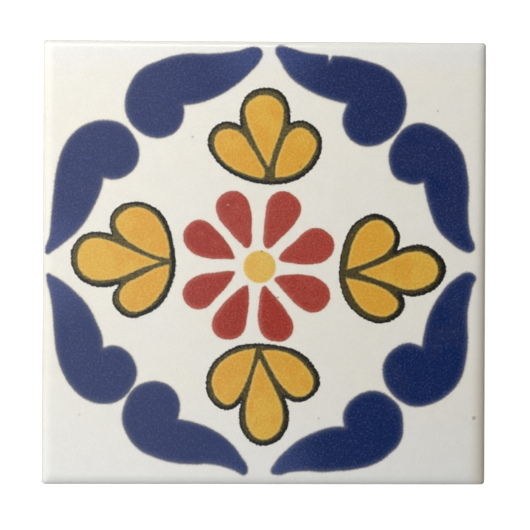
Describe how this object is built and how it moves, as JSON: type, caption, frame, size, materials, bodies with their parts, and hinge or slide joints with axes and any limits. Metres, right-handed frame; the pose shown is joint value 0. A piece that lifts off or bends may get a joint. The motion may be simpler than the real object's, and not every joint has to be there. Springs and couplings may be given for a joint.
{
  "type": "talavera tile",
  "caption": "Square glazed earthenware wall tile with a cushion edge, a painted flower and leaf pattern on its face and a keyed back for mortar.",
  "frame": {"origin": "middle of the back, on the plane of its ribs", "axes": "+Z out of the glazed face, +Y towards the top of the pattern, +X to the right of it"},
  "size_m": [0.105, 0.105, 0.0065],
  "materials": {
    "tile_glaze": "satin"
  },
  "bodies": {
    "root": {"tile": "tile_glaze"}
  },
  "joints": []
}
